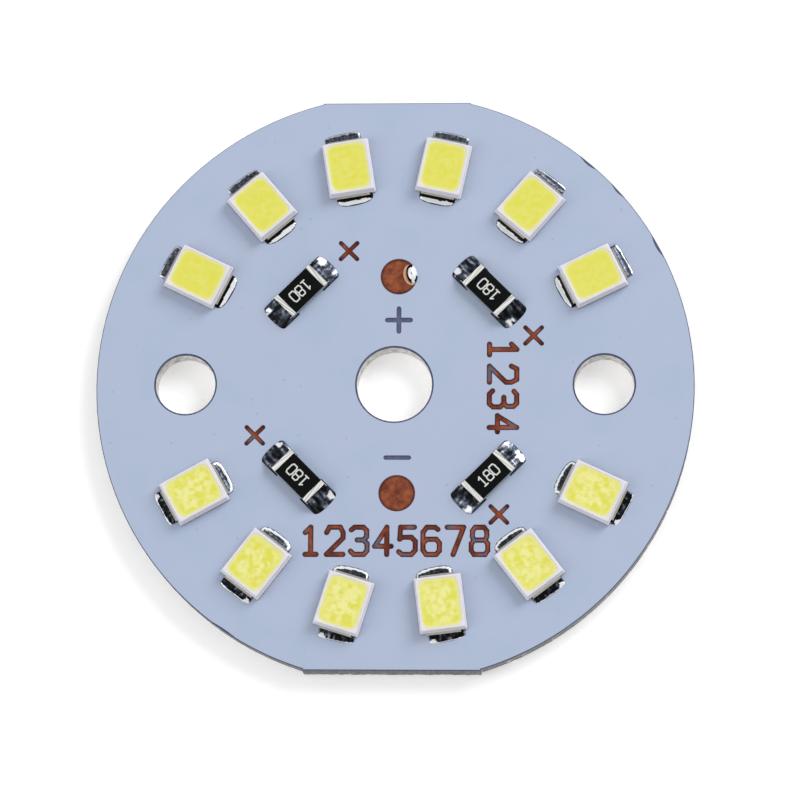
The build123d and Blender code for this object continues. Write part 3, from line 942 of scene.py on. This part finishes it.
joint_parts, joint_shades = [], []
for number, (land, skew) in enumerate(zip(led_lands, led_skews)):
    for side in (1, -1):
        heading = land_heading(land, side)
        points, faces, shades = solder_joint(
            joint_start,
            led_land_end,
            led_land_half,
            led_joint_rows,
            led_joint_form,
            number=number,
            side=side,
            skew=skew,
            bow=outward_bow if heading.dot(land.translation) > 0 else inward_bow,
            upper=land.translation.y > 0,
            down=heading.y < 0,
        )
        joint_parts.append((carried(points, land, side), faces))
        joint_shades += shades
make_piece(
    "led_joints",
    *join(joint_parts),
    solder,
    "solder",
    ["led_solder_joints"],
    crease=50,
    marks={"shade": joint_shades},
)


# The chip resistors: a white alumina chip with tin plated over its two ends, and a coat of
# black glass over the film between them, printed with plain figures
coat_length, coat_width, coat_corner, coat_z = 2.25, 1.535, 0.03, 0.52

# Levels of the coat: how much shorter and narrower it is, and the height above its foot
coat_levels = ((0.0, 0.0, 0.0), (0.0, 0.0, 0.05), (0.01, 0.015, 0.064), (0.05, 0.055, 0.07))
chip_figure_height, chip_figure_half_width = 0.64, 0.042
ink_top, ink_foot = coat_z + 0.0725, coat_z + 0.069
chip_text_turns = (pi, pi, 0, pi)

# Alumina, fired: dull, and painted grey, darker than its own white, as shade on the chip's
# sides. Its grain of a few microns is drawn at 0.05 mm, so that it shows.
alumina, place = new_material("alumina, fired")
grainy = add_node(alumina, "TexNoise", {"Vector": place, "Scale": 1 / (0.05 * mm), "Detail": 3})
tone = add_node(alumina, "Mix", {0: grainy, 6: linear("#7E8488"), 7: linear("#B4B8B8")}, data_type="RGBA")
add_node(alumina, None, {"Base Color": tone, "Roughness": 0.6})

# Tin plate: pale and soft-looking, with the fine lines of the dipped edge, 0.07 mm apart, which
# run across the chip, outwards from the board's middle
tin, place = new_material("tin plate")
across = add_node(tin, "SeparateXYZ", {0: place})
bearing = add_node(tin, "Math", {0: across.outputs[1], 1: across.outputs[0]}, operation="ARCTAN2")
spaced = add_node(tin, "Math", {0: bearing, 1: chip_ring / 0.07}, operation="MULTIPLY")
lines = add_node(tin, "TexNoise", {"W": spaced, "Scale": 1.0, "Detail": 2}, noise_dimensions="1D")
drawn = add_node(tin, "MapRange", {"Value": lines, "From Min": 0.34, "From Max": 0.56})
tone = add_node(tin, "Mix", {0: drawn, 6: linear("#A3A6A1"), 7: linear("#FBFBF8")}, data_type="RGBA")
add_node(tin, None, {"Base Color": tone, "Metallic": 0.4, "Roughness": 0.55})

# Black glass, printed and fired: deep, with a soft gloss and a slight waviness
black_glass, place = new_material("black glass, printed")
wave = add_node(black_glass, "TexNoise", {"Vector": place, "Scale": 1 / (0.4 * mm), "Detail": 2})
tone = add_node(black_glass, "Mix", {0: wave, 6: linear("#020303"), 7: linear("#0A0E0D")}, data_type="RGBA")
bump = add_node(black_glass, "Bump", {"Height": wave, "Strength": 0.1, "Distance": 0.01 * mm})
add_node(
    black_glass, None, {"Base Color": tone, "Roughness": 0.3, "Specular IOR Level": 0.12, "Normal": bump}
)

# White ink of the figures, stamped: matt and a little uneven
figure_ink, place = new_material("white figure ink, stamped")
uneven = add_node(figure_ink, "TexNoise", {"Vector": place, "Scale": 1 / (0.1 * mm), "Detail": 2})
tone = add_node(
    figure_ink, "Mix", {0: uneven, 6: linear("#BFC4C0"), 7: linear("#E6E8E4")}, data_type="RGBA"
)
add_node(figure_ink, None, {"Base Color": tone, "Roughness": 0.5})

coat_rings = [
    rounded_rectangle(coat_length - shorter, coat_width - narrower, coat_corner, coat_z + rise)
    for shorter, narrower, rise in coat_levels
]
coat_points, coat_faces = loft(coat_rings, closed=True)

strokes = pen_strokes("180", -0.62, -0.32, chip_figure_height, 0, 7.4)
spots, triangles = cut_sheet([stroke(start, end, chip_figure_half_width) for start, end in strokes])
figure_points = [(x, y, ink_top) for x, y in spots] + [(x, y, ink_foot) for x, y in spots]
figure_faces = plate_faces([triangle for triangle, inside in triangles if inside], len(spots))

for number, (land, text_turn) in enumerate(zip(chip_lands, chip_text_turns), start=1):
    dress_node(f"resistor_{number}_body", alumina)
    dress_node(f"resistor_{number}_caps", tin)
    make_piece(
        f"glass_coat_{number}",
        placed(coat_points, land),
        coat_faces,
        black_glass,
        "resistor_coat",
        [f"resistor_{number}_coat"],
        crease=60,
    )
    text_spot = land @ Matrix.Rotation(text_turn, 4, "Z")
    make_piece(
        f"figures_{number}",
        placed(figure_points, text_spot),
        figure_faces,
        figure_ink,
        "resistor_cap",
        crease=20,
    )


# The solder at the resistors: it wets each plated end up to its top and falls to the land in a
# hollow slope. Inside, under the chip, it is only a thin film.
under_end, under_height = 1.43, 0.028
chip_end, slope_reach, slope_height, slope_power = 1.61, 0.76, 0.522, 1.7
# The toe's swell, then the place and size, as a radius squared, of the painted highlight
chip_swell, pale_x, pale_y, pale_size = 0.1, 2.17, 0.5, 0.08


def chip_joint_form(x, y, number, side, low_end):
    """Height and painted shade of a resistor's joint, with one painted highlight near a corner of its toe."""
    wander = noise.noise(Vector((x * 1.6, y * 5, number * 5.3 + side)))
    warp = noise.noise(Vector((x * 4, y * 4, number * 2.7 + side)))
    edge = min(chip_land_half - abs(y), bowed_end(y, chip_land_half, chip_land_end, chip_bow) - x)
    drop = min(max((x - chip_end) / slope_reach, 0.0), 1.0)
    slope = toe_height + slope_height * (1 - drop) ** slope_power + 0.03 * wander * drop
    z = under_height if x < under_end else film + swell(edge, chip_swell) * slope
    spot_y = (pale_y if number % 2 else -pale_y) * side
    pale = (x - pale_x + 0.25 * warp) ** 2 + (y - spot_y + 0.3 * wander) ** 2
    shade = (0.58 if low_end else 0.48) + 0.45 * wander - 0.7 * max(0.0, 1 - pale / pale_size)
    return z, shade


joint_parts, joint_shades = [], []
for number, land in enumerate(chip_lands):
    for side in (1, -1):
        points, faces, shades = solder_joint(
            chip_land_start,
            chip_land_end,
            chip_land_half,
            chip_joint_rows,
            chip_joint_form,
            number=number,
            side=side,
            low_end=land_heading(land, side).y < 0,
        )
        joint_parts.append((carried(points, land, side), faces))
        joint_shades += shades
make_piece(
    "chip_joints",
    *join(joint_parts),
    solder,
    "solder",
    ["resistor_solder_joints"],
    crease=50,
    marks={"shade": joint_shades},
)


# A bead of solder, left on the positive wire pad where a wire was tinned: a long drop with
# painted reflections, bright on top, dark below on its left and at its upper right, and a dark
# dot at its peak
bead_half_width, bead_half_length, bead_height = 0.33, 0.58, 0.3
bead_offset, bead_turn = 0.78, radians(11)
bead_levels, bead_steps = 10, 48
bead_x, bead_y = pad_x + bead_offset * cos(bead_turn), pad_y + bead_offset * sin(bead_turn)
bead_spot = Matrix.Translation((bead_x, bead_y, land_z)) @ Matrix.Rotation(bead_turn, 4, "Z")

rings, bead_shades = [], []
for level in range(bead_levels + 1):
    rise = radians(90 * level / bead_levels)
    half_width = max(bead_half_width * cos(rise), 0.004)
    half_length = max(bead_half_length * cos(rise), 0.006)
    ring = []
    for step in range(bead_steps):
        turn = 2 * pi * step / bead_steps
        ring.append((half_width * cos(turn), half_length * sin(turn), bead_height * sin(rise)))
        dark_left = level < 6 and cos(turn + 0.4) < 0.1
        dark_right = level < 5 and cos(turn + 0.75) > 0.9
        bead_shades.append(0.8 if level == bead_levels or dark_left or dark_right else -0.25)
    rings.append(ring)
points, faces = loft(rings, closed=True)
make_piece(
    "drop_of_solder",
    placed(points, bead_spot),
    faces,
    solder,
    "solder",
    ["solder_bead"],
    crease=60,
    marks={"shade": bead_shades},
)

# Copper that the bead wetted, in a crescent on its left side: a thin film of tin, pale and
# pinkish where the copper shines through
wetted, place = new_material("copper, tinned thin")
film_tone = add_node(wetted, "TexNoise", {"Vector": place, "Scale": 1 / (0.15 * mm), "Detail": 3})
tone = add_node(wetted, "Mix", {0: film_tone, 6: linear("#E09A6C"), 7: linear("#FBD3AE")}, data_type="RGBA")
add_node(wetted, None, {"Base Color": tone, "Metallic": 0.5, "Roughness": 0.4})

crescent_steps, crescent_start, crescent_sweep = 32, 95, 190
crescent_half_width, crescent_half_length = 0.3, 0.56
crescent_top, crescent_foot = 0.004, -0.01
inner, outer = [], []
for step in range(crescent_steps + 1):
    turn = radians(crescent_start + crescent_sweep * step / crescent_steps)
    grown = 1.02 + 0.5 * sin(pi * step / crescent_steps)
    inner.append((crescent_half_width * cos(turn), crescent_half_length * sin(turn)))
    outer.append((bead_half_width * grown * cos(turn), bead_half_length * grown**0.6 * sin(turn)))
plan = outer + inner[::-1]
count = len(plan)
points = [(x, y, z) for z in (crescent_top, crescent_foot) for x, y in plan]
faces = [tuple(range(count)), tuple(reversed(range(count, 2 * count)))]
for a in range(count):
    b = (a + 1) % count
    faces.append((a, a + count, b + count, b))
make_piece("wetted_copper", placed(points, bead_spot), faces, wetted, "copper", crease=20)
